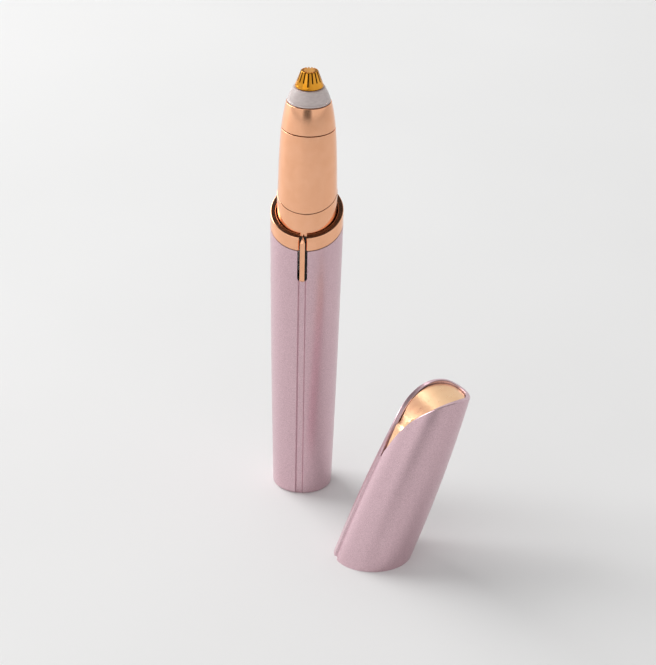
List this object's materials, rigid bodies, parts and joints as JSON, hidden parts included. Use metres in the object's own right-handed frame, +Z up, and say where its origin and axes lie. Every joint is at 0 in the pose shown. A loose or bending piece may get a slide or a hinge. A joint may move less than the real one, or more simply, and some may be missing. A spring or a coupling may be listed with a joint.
{
  "type": "electric eyebrow trimmer",
  "caption": "Slim pen-shaped electric eyebrow trimmer with a slotted rotary tip, a slanted collar, a thumb slide and a scooped cap taken off and set down beside it.",
  "frame": {"origin": "centre of the barrel's flat base, on the surface that the trimmer stands on", "axes": "+Z up along the trimmer's axis towards the cutting tip; the thumb slide and the channel face -Y; the cap stands towards +X and -Y"},
  "size_m": [0.0509, 0.05, 0.1103],
  "materials": {
    "lilac_shell": "satin metallic lilac lacquer",
    "rose_gold": "polished rose gold plating on plastic",
    "deep_gold": "polished deep yellow gold plating",
    "clear_ring": "clear, slightly smoky",
    "black_plastic": "fine moulded black",
    "white_plastic": "plain moulded white",
    "green_board": "solder mask",
    "steel": "bright steel",
    "contact_brass": "plain brass",
    "copper": "enamelled copper over iron",
    "magnet": "sintered dark grey",
    "rubber": "soft black",
    "battery_jacket": "plain dark jacket, no print",
    "light": "pale diffuse lens",
    "wire_red": "smooth insulation",
    "wire_black": "smooth insulation",
    "component_black": "moulded",
    "component_metal": "plain can"
  },
  "bodies": {
    "barrel": {"barrel_shell": "lilac_shell", "collar_ring": "rose_gold"},
    "chassis": {"chassis": "black_plastic", "chassis_cover": "black_plastic", "cover_screw": "steel", "battery": "battery_jacket", "negative_contact": "contact_brass", "positive_contact": "contact_brass", "battery_spring": "steel", "circuit_board": "green_board", "slide_switch": "steel", "resistor": "component_black", "capacitor": "component_metal", "motor_can": "steel", "motor_magnet": "magnet", "motor_end_cap": "white_plastic", "motor_terminal_left": "contact_brass", "motor_terminal_right": "contact_brass", "motor_holder": "black_plastic", "motor_sleeve": "rubber", "shaft_bush": "contact_brass", "neck_skirt": "rose_gold", "neck_shell": "rose_gold", "head_snap_ring": "steel", "light_board": "white_plastic", "light_left": "light", "light_right": "light", "motor_wire_left": "wire_black", "motor_wire_right": "wire_red", "light_wire_left": "wire_black", "light_wire_right": "wire_red"},
    "switch": {"switch_button": "rose_gold", "switch_carriage": "black_plastic", "switch_knob": "white_plastic"},
    "rotor": {"motor_shaft": "steel", "motor_armature": "copper", "drive_coupler": "white_plastic"},
    "head": {"head_ring": "rose_gold", "light_ring": "clear_ring", "head_carrier": "white_plastic", "cutter_bush": "contact_brass", "cutter_guard": "deep_gold"},
    "cutter": {"rotary_cutter": "steel", "driven_coupler": "white_plastic", "cutter_spindle": "steel", "cutter_spring": "steel"},
    "cap": {"cap_shell": "lilac_shell", "cap_insert": "rose_gold"}
  },
  "joints": [
    {"name": "chassis_pull", "type": "slide", "parent": "barrel", "child": "chassis", "axis": [0, 0, 1], "range_m": [0, 0.075]},
    {"name": "switch_slide", "type": "slide", "parent": "chassis", "child": "switch", "axis": [0, 0, 1], "range_m": [0, 0.0022]},
    {"name": "motor_spin", "type": "hinge", "parent": "chassis", "child": "rotor", "pos_m": [0, 0, 0.0736], "axis": [0, 0, 1], "continuous": true},
    {"name": "head_pull", "type": "slide", "parent": "chassis", "child": "head", "axis": [0, 0, 1], "range_m": [0, 0.02]},
    {"name": "cutter_spin", "type": "hinge", "parent": "head", "child": "cutter", "pos_m": [0, 0, 0.1061], "axis": [0, 0, 1], "continuous": true},
    {"name": "cap_lift", "type": "slide", "parent": "barrel", "child": "cap", "axis": [0, 0, 1], "range_m": [0, 0.12]}
  ],
  "couplings": [
    {"joint": "cutter_spin", "follows": "motor_spin", "ratio": 1}
  ]
}
